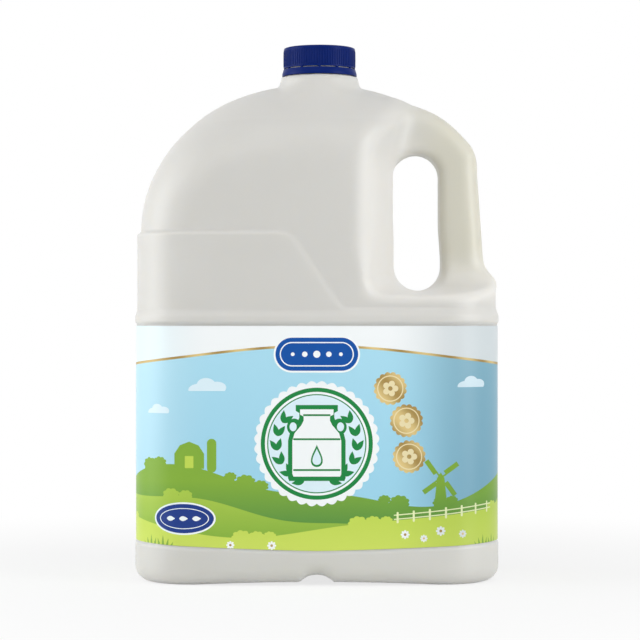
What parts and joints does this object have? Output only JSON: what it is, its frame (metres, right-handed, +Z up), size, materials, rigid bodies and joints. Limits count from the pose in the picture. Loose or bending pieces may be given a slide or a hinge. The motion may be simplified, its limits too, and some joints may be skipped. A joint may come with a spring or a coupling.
{
  "type": "milk jug",
  "caption": "Plastic milk jug with a moulded side handle, wrap label, rounded shoulder, and a ribbed screw cap over a tamper band.",
  "frame": {"origin": "on the ground under the middle of the jug's body", "axes": "+X towards the handle, -Y out of the label's front, +Z up"},
  "size_m": [0.2, 0.097, 0.292],
  "materials": {
    "jug_plastic": "satin, milk-white translucent polyethylene with milk behind it",
    "label_film": "printed plastic film in sky blue, white and greens",
    "cap_plastic": "satin dark blue polyethylene"
  },
  "bodies": {
    "root": {"jug": "jug_plastic", "label": "label_film", "screw_cap": "cap_plastic", "tamper_band": "cap_plastic"}
  },
  "joints": []
}
